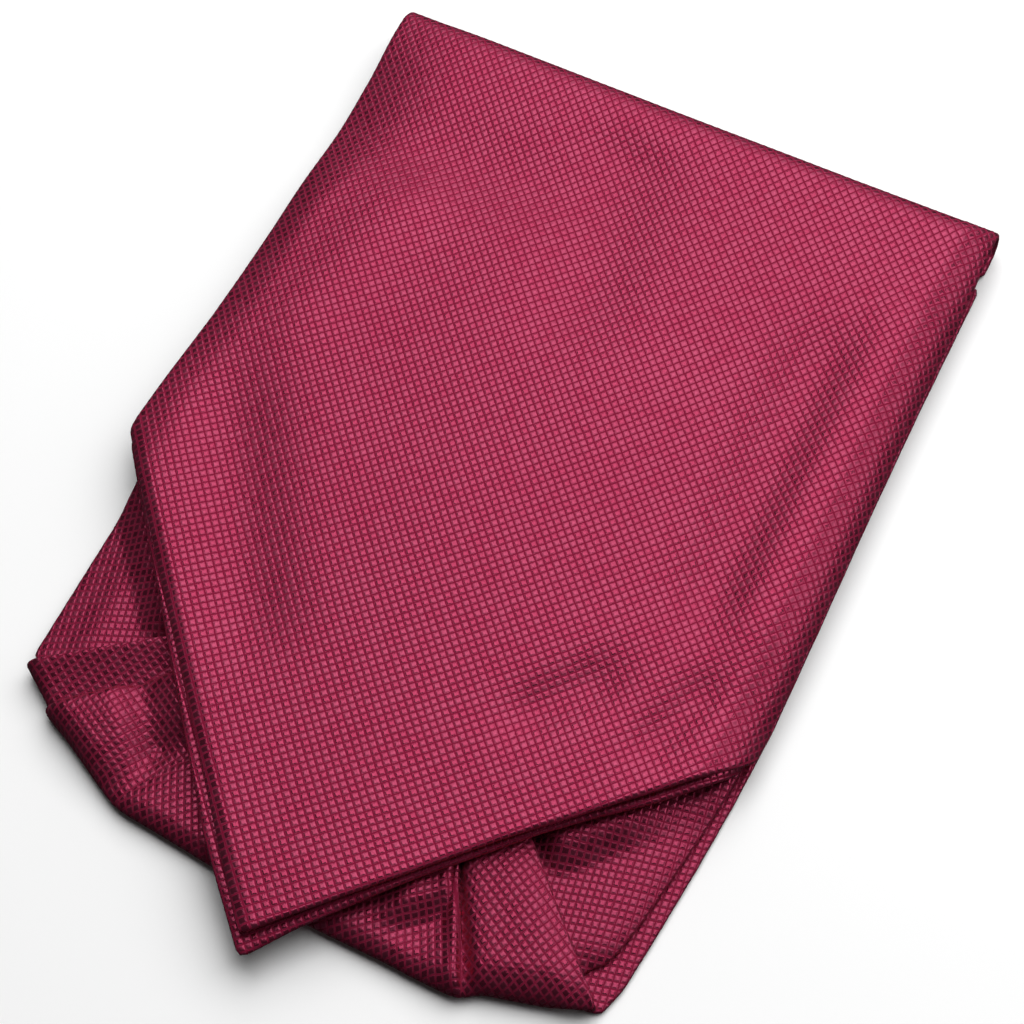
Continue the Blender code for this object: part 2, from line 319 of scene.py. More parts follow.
def cloth(name, outline, middle, weave, thick, slot, node, high=0.05, corner=0.5,
          coarse=(2.6, 2.6), fine_back=False, rim_rows=7, ring_step=0.85, material=None):
    """A closed thin shell: outer face woven square by square, a round folded rim, and a
    back face.  middle(a, b) places the flat cloth, thick may be a function of (a, b)."""
    r_of = thick if callable(thick) else (lambda a, b: np.full(np.shape(a), float(thick)))
    r0 = float(np.mean(r_of(*turn_left(np.asarray(outline, float)).T))) / 2
    ring = even_loop(drawn_in(outline, r0), 0.2)
    ring = soften_loop(ring, corner, 0.2)
    ring = even_loop(ring, ring_step)
    ring = turn_left(ring)
    n = len(ring)
    ahead = np.roll(ring, -1, axis=0) - np.roll(ring, 1, axis=0)
    ahead /= np.hypot(*ahead.T)[:, None]
    out2 = np.stack([ahead[:, 1], -ahead[:, 0]], axis=1)

    points, quads = lattice(ring, weave, 0.3)
    edges = border_of(quads)

    band = fill_between(ring, points, edges)

    def frame_at(a, b):
        h = 0.05
        m = middle(a, b)
        da = (middle(a + h, b) - middle(a - h, b)) / (2 * h)
        db = (middle(a, b + h) - middle(a, b - h)) / (2 * h)
        nn = np.cross(da, db)
        nn /= np.maximum(1e-9, np.linalg.norm(nn, axis=1))[:, None]
        return m, nn, da, db

    # outer face: ring first, then lattice
    flat = np.vstack([ring, points])
    m, nn, _da, _db = frame_at(flat[:, 0], flat[:, 1])
    p, q = weave(flat[:, 0], flat[:, 1])
    r = r_of(flat[:, 0], flat[:, 1]) / 2
    outer = m + nn * (r + relief(p, q, high))[:, None]
    uv_outer = np.stack([p, q], axis=1)

    # rim rows
    rows, uv_rows = [], []
    ra = r_of(ring[:, 0], ring[:, 1]) / 2
    mr, nr, da, db = frame_at(ring[:, 0], ring[:, 1])
    side = da * out2[:, 0:1] + db * out2[:, 1:2]
    side -= nr * np.sum(side * nr, axis=1)[:, None]
    side /= np.maximum(1e-9, np.linalg.norm(side, axis=1))[:, None]
    for k in range(1, rim_rows + 1):
        phi = math.pi * k / rim_rows
        fp, fq = weave(ring[:, 0] + out2[:, 0] * ra * phi, ring[:, 1] + out2[:, 1] * ra * phi)
        lift = ra + relief(fp, fq, high) * (1.0 if k < rim_rows else 0.0)
        rows.append(mr + side * (lift * math.sin(phi))[:, None]
                    + nr * (lift * math.cos(phi))[:, None])
        uv_rows.append(np.stack([fp, fq], axis=1))

    verts = [outer] + rows
    n_outer = len(outer)
    face_sets, uv_sets = [], []

    def add(faces, uv):
        face_sets.append(faces)
        uv_sets.append(uv)

    quads_v = quads + n
    add(quads_v, uv_outer[quads_v])
    if len(band):
        add(band, uv_outer[band])
    k0 = np.arange(n)
    k1 = (k0 + 1) % n
    before, uv_before = k0, uv_outer[:n]
    before_next = k1
    start = n_outer
    for k in range(rim_rows):
        now, now_next = start + k * n + k0, start + k * n + k1
        faces = np.stack([before, now, now_next, before_next], axis=1)
        uv = np.stack([uv_before, uv_rows[k], uv_rows[k][k1], uv_before[k1]], axis=1)
        add(faces, uv)
        before, before_next, uv_before = now, now_next, uv_rows[k]
    last = start + (rim_rows - 1) * n
    n_so_far = n_outer + rim_rows * n
    # back face
    if fine_back:
        back_flat = points
        mb, nb, _a, _b = frame_at(back_flat[:, 0], back_flat[:, 1])
        pb, qb = weave(back_flat[:, 0], back_flat[:, 1])
        rb = r_of(back_flat[:, 0], back_flat[:, 1]) / 2
        verts.append(mb - nb * (rb + relief(pb, qb, high))[:, None])
        uv_back = np.vstack([uv_outer[:n], np.stack([pb, qb], axis=1)])
        ids = np.concatenate([last + k0, n_so_far + np.arange(len(points))])
        add(ids[quads_v[:, ::-1]], uv_back[quads_v[:, ::-1]])
        if len(band):
            add(ids[band[:, ::-1]], uv_back[band[:, ::-1]])
    else:
        pts, tris = coarse_fill(ring, *coarse)
        if len(pts):
            mb, nb, _a, _b = frame_at(pts[:, 0], pts[:, 1])
            rb = r_of(pts[:, 0], pts[:, 1]) / 2
            verts.append(mb - nb * rb[:, None])
            pb, qb = weave(pts[:, 0], pts[:, 1])
            uv_back = np.vstack([uv_outer[:n], np.stack([pb, qb], axis=1)])
        else:
            uv_back = uv_outer[:n]
        ids = np.concatenate([last + k0, n_so_far + np.arange(len(pts))])
        add(ids[tris[:, ::-1]], uv_back[tris[:, ::-1]])

    return finish_mesh(name, np.vstack(verts), face_sets, uv_sets, node, material)


def finish_mesh(name, verts, face_sets, uv_sets, node, material):
    mesh = bpy.data.meshes.new(name)
    sizes = np.concatenate([np.full(len(f), f.shape[1]) for f in face_sets])
    loops = np.concatenate([f.ravel() for f in face_sets]).astype(np.int32)
    uv = np.concatenate([u.reshape(-1, 2) for u in uv_sets]).astype(np.float32)
    mesh.vertices.add(len(verts))
    mesh.vertices.foreach_set("co", (verts * MM).astype(np.float32).ravel())
    mesh.loops.add(len(loops))
    mesh.loops.foreach_set("vertex_index", loops)
    mesh.polygons.add(len(sizes))
    starts = np.concatenate([[0], np.cumsum(sizes)[:-1]]).astype(np.int32)
    mesh.polygons.foreach_set("loop_start", starts)
    layer = mesh.uv_layers.new(name="Weave")
    layer.data.foreach_set("uv", uv.ravel())
    mesh.update(calc_edges=True)
    mesh.validate()
    mesh.shade_smooth()
    item = bpy.data.objects.new(name, mesh)
    bpy.context.scene.collection.objects.link(item)
    if material is not None:
        mesh.materials.append(material)
    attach(item, "root")
    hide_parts(*([node] if isinstance(node, str) else node))
    return item


def close_grid(name, middle, thick, high, weaves, nodes, material):
    """A closed thin shell round a grid of middle points, rows by columns.  weaves gives the
    two thread counts at every grid point, for each stretch: (first column, last column,
    p, q).  The rim is round."""
    rows, cols = middle.shape[:2]
    along = np.gradient(middle, axis=1)
    up = np.gradient(middle, axis=0)
    normal = np.cross(along, up)
    normal /= np.maximum(1e-9, np.linalg.norm(normal, axis=2))[:, :, None]
    height = np.zeros((rows, cols))
    for first, last, p, q in weaves:
        height[:, first:last + 1] = relief(p, q, high)[:, first:last + 1]
    outer = middle + normal * (thick / 2 + height)[:, :, None]
    inner = middle - normal * (thick / 2)
    number = np.arange(rows * cols).reshape(rows, cols)
    loop = np.concatenate([number[0, :-1], number[:-1, -1], number[-1, :0:-1],
                           number[:0:-1, 0]])
    flat_mid, flat_n = middle.reshape(-1, 3), normal.reshape(-1, 3)
    m, nn = flat_mid[loop], flat_n[loop]
    ahead = np.roll(m, -1, axis=0) - np.roll(m, 1, axis=0)
    side = np.cross(ahead, nn)
    side /= np.maximum(1e-9, np.linalg.norm(side, axis=1))[:, None]
    between = [m + (nn * math.cos(phi) + side * math.sin(phi)) * thick / 2
               for phi in (math.pi * 0.25, math.pi * 0.5, math.pi * 0.75)]
    total = rows * cols
    verts = np.vstack([outer.reshape(-1, 3), inner.reshape(-1, 3)] + between)
    faces, uvs = [], []

    def corner(a, sheet):
        return a + sheet * total

    for first, last, p, q in weaves:
        uv = np.stack([p, q], axis=2)
        box = (slice(None, -1), slice(first, last)), (slice(None, -1), slice(first + 1, last + 1)), \
              (slice(1, None), slice(first + 1, last + 1)), (slice(1, None), slice(first, last))
        ids = np.stack([number[b] for b in box], axis=2).reshape(-1, 4)
        uv_f = np.stack([uv[b] for b in box], axis=2).reshape(-1, 4, 2)
        faces += [corner(ids, 0), corner(ids[:, ::-1], 1)]
        uvs += [uv_f, uv_f[:, ::-1]]
    flat_uv = np.zeros((rows, cols, 2))
    for first, last, p, q in weaves:
        flat_uv[:, first:last + 1] = np.stack([p, q], axis=2)[:, first:last + 1]
    ring_uv = flat_uv.reshape(-1, 2)[loop]
    n = len(loop)
    k0 = np.arange(n)
    k1 = (k0 + 1) % n
    levels = [loop, 2 * total + k0, 2 * total + n + k0, 2 * total + 2 * n + k0, loop + total]
    for number_of, (one, two) in enumerate(zip(levels[:-1], levels[1:])):
        faces.append(np.stack([one[k0], two[k0], two[k1], one[k1]], axis=1))
        start, end = ring_uv + 0.12 * number_of, ring_uv + 0.12 * (number_of + 1)
        uvs.append(np.stack([start[k0], end[k0], end[k0] + 0.01, start[k0] + 0.01], axis=1))
    return finish_mesh(name, verts, faces, uvs, nodes, material)


# ================================================================ silk
def silk(name, cell, cell_dark, line, rough=0.29, metal=0.72, seed=0.0):
    material = bpy.data.materials.new(name)
    material.use_nodes = True
    tree = material.node_tree
    nodes, links = tree.nodes, tree.links
    shader = nodes["Principled BSDF"]

    def math_node(kind, a, b=None, c=None, clamp=False):
        node = nodes.new("ShaderNodeMath")
        node.operation = kind
        node.use_clamp = clamp
        for socket, value in zip(node.inputs, (a, b, c)):
            if value is None:
                continue
            if isinstance(value, (int, float)):
                socket.default_value = value
            else:
                links.new(value, socket)
        return node.outputs[0]

    def ramp(value, low, high, to_low, to_high):
        node = nodes.new("ShaderNodeMapRange")
        node.interpolation_type = "SMOOTHSTEP"
        links.new(value, node.inputs["Value"])
        node.inputs["From Min"].default_value = low
        node.inputs["From Max"].default_value = high
        node.inputs["To Min"].default_value = to_low
        node.inputs["To Max"].default_value = to_high
        return node.outputs[0]

    def mix(kind, share, a, b):
        node = nodes.new("ShaderNodeMix")
        node.data_type = "RGBA"
        node.blend_type = kind
        for socket, value in ((node.inputs[0], share), (node.inputs[6], a), (node.inputs[7], b)):
            if isinstance(value, (int, float)):
                socket.default_value = value
            elif isinstance(value, tuple):
                socket.default_value = (*value, 1.0)
            else:
                links.new(value, socket)
        return node.outputs[2]

    uv = nodes.new("ShaderNodeUVMap")
    uv.uv_map = "Weave"
    # threads are never quite straight
    wander = nodes.new("ShaderNodeTexNoise")
    wander.inputs["Scale"].default_value = 0.9
    wander.inputs["Detail"].default_value = 1.5
    links.new(uv.outputs[0], wander.inputs["Vector"])
    shift = nodes.new("ShaderNodeVectorMath")
    shift.operation = "MULTIPLY_ADD"
    links.new(wander.outputs["Color"], shift.inputs[0])
    shift.inputs[1].default_value = (0.16, 0.16, 0.0)
    links.new(uv.outputs[0], shift.inputs[2])
    split = nodes.new("ShaderNodeSeparateXYZ")
    links.new(shift.outputs[0], split.inputs[0])
    p, q = math_node("ADD", split.outputs[0], -0.08), math_node("ADD", split.outputs[1], -0.08)
    fp, fq = math_node("FRACT", p), math_node("FRACT", q)
    gap_p = math_node("ABSOLUTE", math_node("SUBTRACT", fp, 0.5))
    gap_q = math_node("ABSOLUTE", math_node("SUBTRACT", fq, 0.5))
    # the lines between the squares are ragged
    ragged = nodes.new("ShaderNodeTexNoise")
    ragged.inputs["Scale"].default_value = 5.5
    ragged.inputs["Detail"].default_value = 2.0
    links.new(uv.outputs[0], ragged.inputs["Vector"])
    away = math_node("MULTIPLY_ADD", ragged.outputs["Fac"], 0.16,
                     math_node("ADD", math_node("MAXIMUM", gap_p, gap_q), -0.08))
    line_mask = ramp(away, 0.33, 0.45, 0.0, 1.0)

    # one value for each square
    cell_id = nodes.new("ShaderNodeCombineXYZ")
    links.new(math_node("FLOOR", p), cell_id.inputs[0])
    links.new(math_node("FLOOR", q), cell_id.inputs[1])
    cell_id.inputs[2].default_value = seed
    chance = nodes.new("ShaderNodeTexWhiteNoise")
    chance.noise_dimensions = "3D"
    links.new(cell_id.outputs[0], chance.inputs["Vector"])

    # floats inside a square: fine lines along one thread
    stretch = nodes.new("ShaderNodeMapping")
    stretch.inputs["Scale"].default_value = (7.0, 3.0, 1.0)
    links.new(uv.outputs[0], stretch.inputs["Vector"])
    fibre = nodes.new("ShaderNodeTexNoise")
    fibre.inputs["Scale"].default_value = 1.0
    fibre.inputs["Detail"].default_value = 2.0
    links.new(stretch.outputs[0], fibre.inputs["Vector"])

    # slow unevenness of the dye and the light on it
    patch = nodes.new("ShaderNodeTexNoise")
    patch.inputs["Scale"].default_value = 0.045
    patch.inputs["Detail"].default_value = 3.0
    links.new(uv.outputs[0], patch.inputs["Vector"])

    tone = math_node("MULTIPLY_ADD", chance.outputs["Value"], 0.30,
                     math_node("MULTIPLY_ADD", fibre.outputs["Fac"], 0.85,
                               math_node("MULTIPLY", patch.outputs["Fac"], 0.25)))
    tone = ramp(tone, 0.38, 1.02, 0.0, 1.0)
    # painted shade: the half of a square towards +p, -q is painted darker, as if it lay a little lower and
    # took less light
    painted_half_shade = ramp(math_node("SUBTRACT", fp, fq), -0.7, 0.7, 1.0, 0.0)
    # the cell colour mixes the random tone with that painted half-square shade
    share = math_node("MULTIPLY_ADD", tone, 0.82, math_node("MULTIPLY", painted_half_shade, 0.18), clamp=True)
    cell_colour = mix("MIX", share, cell_dark, cell)
    colour = mix("MIX", line_mask, cell_colour, line)
    links.new(colour, shader.inputs["Base Color"])

    metallic = math_node("MULTIPLY_ADD", line_mask, -metal, metal, clamp=True)
    links.new(metallic, shader.inputs["Metallic"])
    roughness = math_node("ADD", ramp(line_mask, 0.0, 1.0, rough, 0.75),
                          math_node("MULTIPLY", math_node("SUBTRACT", chance.outputs["Value"], 0.5), 0.10))
    links.new(roughness, shader.inputs["Roughness"])
    shader.inputs["Specular IOR Level"].default_value = 0.08
    shader.inputs["Sheen Weight"].default_value = 0.05
    shader.inputs["Sheen Roughness"].default_value = 0.45
    shader.inputs["Sheen Tint"].default_value = (0.85, 0.45, 0.60, 1.0)

    # bump: squares stand between the lines, with the fine floats on them
    pillow = ramp(away, 0.16, 0.47, 1.0, 0.0)
    height = math_node("MULTIPLY_ADD", fibre.outputs["Fac"], 0.22, pillow)
    bump = nodes.new("ShaderNodeBump")
    bump.inputs["Strength"].default_value = 0.5
    bump.inputs["Distance"].default_value = 0.00016
    links.new(height, bump.inputs["Height"])
    links.new(bump.outputs[0], shader.inputs["Normal"])
    return material


blade_silk = silk("blade_silk", (0.70, 0.112, 0.222), (0.50, 0.042, 0.112), (0.190, 0.006, 0.030),
                  metal=0.95)
# painted shade: the lower sheets and the neck pleats get the same silk as the blades, painted about an
# eighth darker
lower_silk = silk("lower_silk", (0.60, 0.092, 0.186), (0.41, 0.033, 0.090), (0.165, 0.007, 0.028),
                  metal=0.95, seed=3.0)
neck_silk = silk("neck_silk", (0.60, 0.092, 0.186), (0.41, 0.033, 0.090), (0.165, 0.007, 0.028),
                 metal=0.95, seed=7.0)

# ================================================================ the two blades
# name, start x, start y, end x, end y, half width, rise
BLADE_FOLDS = [
    ("right edge ridge", 62.0, 72.0, 63.5, 0.0, 6.0, 0.9),
    ("right trough", 50.0, 56.0, 52.5, 4.0, 8.5, -1.8),
    ("top trough", -7.0, 90.0, -1.0, 56.0, 12.0, -1.5),
    ("top left trough", -68.0, 70.0, -26.0, 74.0, 12.0, -1.6),
    ("left trough", -55.0, -8.0, -32.0, -42.0, 10.0, -1.4),
    ("left ridge", -49.0, 52.0, -55.0, 24.0, 10.0, 1.1),
    ("middle ridge", 8.0, 40.0, 6.0, 0.0, 18.0, 0.5),
    ("right dimple", 60.5, -22.0, 57.0, -32.0, 5.0, -1.2),
    ("low trough", 39.5, -29.0, 33.0, -37.0, 6.0, -1.4),
]
SIDE_ROLL = 10.0                              # radius of the roll down the right edge
SIDE_ROLL_REAR = 7.2
# y, x where that roll starts
ROLL_START = [(-30.0, 66.0), (-10.0, 65.9), (7.0, 65.5), (24.0, 65.1), (42.0, 64.5),
              (60.0, 64.1), (80.0, 64.1), (98.0, 64.7)]
# x, y that the roll of the top fold reaches
TOP_EDGE = [(-73.2, 106.6), (-71.0, 106.4), (-68.0, 106.2), (-64.0, 105.95), (-50.0, 105.8),
            (-30.0, 105.57), (0.0, 105.25), (20.0, 105.15), (40.0, 105.0), (64.0, 105.0),
            (68.0, 105.3), (70.0, 105.7), (72.0, 106.3), (73.1, 106.8)]
BLADE_WEAVE = Weave((0.4665, 0.4552, -0.0174, 0.0157, 0.006, 0.0, -0.0117, -0.0208, -0.0043),
                    (0.4818, -0.4650, 0.0333, 0.0471, 0.0135, 0.0076, -0.0182, -0.0073, 0.0119))


def blade_height(x, y, mid, share):
    depth = (1.2 + 2.2 * soft(-10.0, 50.0, y) + 0.6 * soft(50.0, 80.0, y)
             - 1.6 * soft(84.0, 98.0, y))
    first = 64.0 - 14.0 * soft(46.0, 82.0, y)
    left = depth * np.clip((-x - first) / (73.5 - first), 0.0, 1.3) ** 2
    if share > 0.9:
        # the upper blade's left tip edge rolls down a little
        inside = (x + 76.2) * 0.746 + (y + 17.6) * 0.666
        left = left + 1.8 * np.clip((3.0 - inside) / 3.0, 0.0, 1.2) ** 2
    point = (0.5 if share > 0.9 else 1.3) * soft(-86.0, -108.0, y)
    fade = 1.0 - soft(86.0, 98.0, y)
    return mid - left - point + share * fade * (
        folds(BLADE_FOLDS, x, y) + 0.10 * drift(x, y, 46.0, 2.0))


class Blade:
    """Flat cloth of a blade, (a, b), laid on the stack: a runs over the side roll at the
    right edge, b over the roll of the top fold and under the stack."""

    def __init__(self, mid, share, bottom, roll, shift, back):
        self.mid, self.share, self.bottom = mid, share, bottom
        self.roll, self.shift, self.back = roll, shift, back

    def start(self, b):
        return read(ROLL_START, b) + self.shift * (1.0 + 0.17 * soft(80.0, 96.0, b))

    def side(self, a, b):
        x0 = self.start(b)
        turn = np.maximum(0.0, a - x0) / self.roll
        x = np.where(a > x0, x0 + self.roll * np.sin(turn), a)
        return x, np.minimum(a, x0), self.roll * (1.0 - np.cos(turn))

    def fold(self, a):
        """Where the top fold's roll starts, and its radius."""
        x, x_in, sink = self.side(a, np.full_like(a, 99.0))
        top = blade_height(x_in, np.full_like(a, 99.0), self.mid, self.share) - sink
        radius = (top - self.bottom) / 2
        edge = read(TOP_EDGE, x) - self.back * (1.0 - 0.27 * soft(60.0, 72.0, x))
        return edge - radius - T_BLADE / 2, radius

    def middle(self, a, b):
        yf, radius = self.fold(a)
        x, x_in, sink = self.side(a, b)
        y_in = np.minimum(b, yf)
        top = blade_height(x_in, y_in, self.mid, self.share) - sink
        past = np.maximum(0.0, b - yf)
        turn = np.minimum(math.pi, past / radius)
        under = np.maximum(0.0, past - math.pi * radius)
        y = np.where(b <= yf, b, yf + radius * np.sin(turn) - under)
        z = np.where(b <= yf, top, self.bottom + radius * (1.0 + np.cos(turn)))
        return np.stack([x, y, z], axis=1)

    def outline(self, point, left_edge, tip_edge, reach, under):
        """Point, right tip edge, right edge up, end of the under run, left edge down.
        reach is a table of y and the cloth's width past the start of the side roll."""
        line = list(point) + list(tip_edge)
        line += [(float(self.start(y)) + w, y) for y, w in reach]
        for a in np.linspace(line[-1][0], left_edge[-1][0], 41):
            yf, radius = self.fold(np.array([float(a)]))
            line.append((float(a), float(yf[0] + math.pi * radius[0] + under)))
        return line + list(reversed(left_edge))


FRONT_LEFT = [(-76.2, -17.6), (-75.6, -9.0), (-75.1, -2.0), (-74.2, 8.0), (-73.7, 14.0),
              (-73.3, 25.0), (-73.0, 40.0), (-72.9, 60.0), (-72.9, 84.0), (-73.2, 99.7)]
FRONT_TIP = [(38.2, -65.3), (77.9, -27.2)]
FRONT_REACH = [(-22.0, 11.7), (-8.0, 11.5), (7.0, 11.5), (24.0, 11.5), (42.0, 11.5),
               (60.0, 11.5), (80.0, 11.2), (98.8, 9.2)]
front_form = Blade(FRONT_MID, 1.0, T_BLADE / 2, SIDE_ROLL, 0.0, 0.0)
front_outline = front_form.outline(((0.7, -103.6), (1.5, -103.6)), FRONT_LEFT, FRONT_TIP,
                                   FRONT_REACH, 4.4)
front_blade = cloth("front_blade_silk", front_outline, front_form.middle, BLADE_WEAVE, T_BLADE,
                    "blade_silk", "front_blade", high=0.033, coarse=(2.6, 1.3),
                    material=blade_silk)

REAR_LEFT = [(-15.8, -89.2), (-45.4, -54.4), (-75.1, -19.6), (-74.3, -4.0), (-73.3, 14.0),
             (-72.4, 62.0), (-72.5, 99.7)]
REAR_TIP = [(10.2, -97.2), (15.9, -90.7), (26.8, -78.1), (38.3, -66.2), (44.2, -60.0),
            (53.2, -51.8), (62.4, -44.0), (66.6, -39.9), (74.9, -30.8)]
REAR_REACH = [(-22.0, 8.3), (8.0, 8.0), (60.0, 7.4), (84.0, 7.4), (98.8, 7.5)]
rear_form = Blade(REAR_MID, 0.5, T_BLADE / 2 + 2.4, SIDE_ROLL_REAR, 0.6, 2.55)
rear_outline = rear_form.outline(((2.0, -107.0), (2.9, -107.0)), REAR_LEFT, REAR_TIP,
                                 REAR_REACH, 5.4)
rear_weave = Weave((0.4700, 0.4600, 0.0, 0.01), (0.4750, -0.4680, 0.01, 0.0))
rear_blade = cloth("rear_blade_silk", rear_outline, rear_form.middle, rear_weave, T_BLADE,
                   "blade_silk", "rear_blade", high=0.033, coarse=(2.6, 1.3),
                   material=blade_silk)

# ================================================================ the two lower sheets
OUTER_BOTTOM = [(-70.3, -66.8), (-65.6, -69.6), (-55.2, -76.2), (-35.2, -85.8),
                (-12.0, -87.6), (10.0, -89.4), (40.6, -89.2), (44.6, -87.6),
                (55.4, -84.4), (60.6, -82.7), (65.6, -85.9), (69.5, -85.2)]
OUTER_RIGHT = [(71.3, -79.0), (72.4, -68.0), (73.8, -51.0), (74.8, -35.0), (75.3, -18.0),
               (74.7, 7.0), (73.9, 33.0), (73.4, 60.0), (73.3, 94.5)]
INNER_BOTTOM = [(-70.3, -69.6), (-67.2, -70.8), (-57.6, -76.2), (-36.2, -87.2),
                (-12.0, -89.2), (10.0, -91.2), (41.0, -91.0), (46.4, -88.6),
                (55.0, -85.6), (60.5, -82.4)]
INNER_RIGHT = [(62.9, -80.2), (64.4, -78.0), (66.3, -76.2), (67.6, -72.5), (69.1, -65.0),
               (70.4, -56.0), (71.5, -48.0), (73.0, -36.0), (73.8, -24.0), (73.9, 7.0),
               (73.2, 33.0), (72.8, 60.0), (72.4, 92.8)]
LOWER_FOLDS = [
    ("left roll", -68.0, -24.0, -66.0, -66.0, 4.0, -0.25),
    ("left swell", -61.0, -44.0, -60.0, -66.0, 5.0, 0.45),
    ("right swell", 62.0, -52.0, 60.0, -74.0, 6.0, 0.5),
    ("right low dip", 60.0, -80.5, 66.0, -78.0, 3.5, -0.55),
]
LOWER_WEAVE = Weave((0.650, 0.145, 0.0, -0.068), (0.205, -0.632, -0.047, -0.030))


def past_left_tip(x, y):
    """How far a place is outside the left tip edge of the upper blade."""
    return -((x + 76.2) * 0.746 + (y + 17.6) * 0.666)


def past_right_tip(x, y):
    """How far a place is outside the right tip edge of the blade below it."""
    return (x - 2.0) * 0.718 - (y + 106.0) * 0.696


def left_pleat(gap):
    """The left pleat bulges over its fold, falls, and comes up again to the blades."""
    return -2.2 * soft(16.0, 9.5, gap) + 2.6 * soft(9.5, 0.5, gap)


def beside_ridge(gap):
    """The panel comes up steeply to the blades beside the standing pleat."""
    return -0.55 * soft(12.0, 6.5, gap) + 2.7 * soft(6.5, 0.5, gap)


def inner_middle(a, b):
    z = INNER_MID + folds(LOWER_FOLDS, a, b)
    z = z - 0.5 * np.clip((-a - 66.0) / 4.3, 0.0, 1.4) ** 2
    edge = read([(y, x) for x, y in INNER_RIGHT], b)
    z = z - 0.6 * np.clip((a - edge + 3.5) / 3.5, 0.0, 1.1) ** 2
    # the sheet comes down off the stack beside the blades' tip edges
    left_gap = past_left_tip(a, b)
    above = (a + 70.0) * -0.583 + (b + 72.3) * 0.812
    z = z + 2.6 * soft(8.0, 0.0, left_gap) * soft(-9.0, -3.0, left_gap) * soft(0.5, 5.0, above)
    right_gap = past_right_tip(a, b)
    beyond = (a - 68.5) * 0.686 + (b + 85.5) * 0.729      # right of the wide pleat's edge
    z = z + 2.8 * soft(7.0, -0.5, right_gap) * soft(-9.0, -3.0, right_gap) * (
        soft(0.5, 6.0, beyond) * (1.0 - 0.7 * soft(54.0, 68.0, a)))
    return np.stack([a, b, z], axis=1)


def outer_middle(a, b):
    return np.stack([a, b, np.full_like(a, OUTER_MID)], axis=1)


lower_inner = cloth("lower_inner_silk", INNER_BOTTOM + INNER_RIGHT + [(-70.3, 92.8)],
                    inner_middle, LOWER_WEAVE, T_LOWER, "lower_silk", "lower_inner",
                    high=0.036, coarse=(4.0, 4.0), material=lower_silk)
lower_outer = cloth("lower_outer_silk", OUTER_BOTTOM + OUTER_RIGHT + [(-70.3, 94.5)],
                    outer_middle, LOWER_WEAVE, T_LOWER, "lower_silk", "lower_outer",
                    high=0.04, fine_back=True, material=lower_silk)

# ================================================================ the neck pleats
# outer x, y on the bottom fold, inner x, y under the blades, height of the middle there
PLEATS = {
    "neck_pleat_upper_left": [
        (-70.0, -72.3, -41.0, -51.5, PANEL_TOP + 1.8),
        (-65.6, -75.2, -38.0, -55.5, PANEL_TOP + 0.3),
        (-61.2, -78.2, -35.5, -59.5, PANEL_TOP - 1.0)],
}
PLEAT_WEAVES = {
    "neck_pleat_upper_left": (64.0, -28.0),
}
PLEAT_UNDER = 4.4
# the rest of the neck stretch is one sheet, pleated: outer x, y on the bottom fold, inner
# x, y under the blades, height of the middle, reach of the fold's rounding
NECK = [
    (-61.3, -79.2, -34.7, -56.3, 5.8, 5.0),
    (-60.5, -79.8, -34.0, -57.0, 6.7, 5.0),
    (-55.0, -82.2, -32.4, -59.6, 6.7, 5.0),
    (-49.4, -84.9, -30.6, -62.3, 6.3, 5.0),
    (-46.0, -86.6, -29.4, -64.6, 5.6, 5.0),
    (-43.0, -88.1, -28.3, -66.5, 4.8, 5.0),
    (-40.2, -89.4, -27.2, -68.8, 4.15, 4.5),
    (-38.0, -90.3, -26.4, -70.6, 3.98, 4.0),
    (-35.0, -90.9, -25.2, -71.2, 4.5, 4.0),
    (-28.5, -91.4, -21.0, -69.0, 4.75, 4.0),
    (-12.7, -92.8, -11.0, -67.0, 4.75, 4.0),
    (11.5, -94.8, 8.0, -65.0, 4.75, 4.0),
    (27.0, -94.7, 20.0, -67.0, 4.7, 4.0),
    (34.0, -94.9, 25.5, -70.0, 4.5, 4.0),
    (39.5, -94.9, 30.0, -70.5, 5.3, 4.0),
    (42.7, -94.7, 31.5, -71.5, 6.25, 4.0),
    (44.2, -94.1, 32.2, -71.8, 4.0, 4.0),
    (45.8, -93.0, 32.8, -71.8, 4.5, 4.0),
    (47.6, -92.0, 33.4, -71.0, 6.3, 5.0),
    (52.6, -90.6, 34.8, -68.5, 6.75, 7.0),
    (58.4, -89.0, 37.4, -65.5, 6.8, 7.5),
    (63.6, -87.4, 39.8, -62.7, 6.7, 8.5),
    (68.5, -85.5, 41.6, -60.2, 6.3, 10.0),
]
NECK_STRETCHES = [(-61.3, -37.6, 64.0, -28.0), (-37.6, 44.0, 30.0, -50.0),
                  (44.0, 68.5, 61.0, -23.0)]


def spline(xs, ys, x):
    """A smooth line through the rows of a table."""
    xs, ys = np.asarray(xs, float), np.asarray(ys, float)
    n = len(xs)
    slope = np.gradient(ys, xs)
    k = np.clip(np.searchsorted(xs, x) - 1, 0, n - 2)
    h = xs[k + 1] - xs[k]
    t = (x - xs[k]) / h
    over = np.where(t < 0, t, np.where(t > 1, t - 1, 0.0))
    t = np.clip(t, 0.0, 1.0)
    value = ((1 + 2 * t) * (1 - t) ** 2 * ys[k] + t * (1 - t) ** 2 * h * slope[k]
             + t * t * (3 - 2 * t) * ys[k + 1] + t * t * (t - 1) * h * slope[k + 1])
    return value + over * h * np.where(over < 0, slope[k], slope[k + 1])


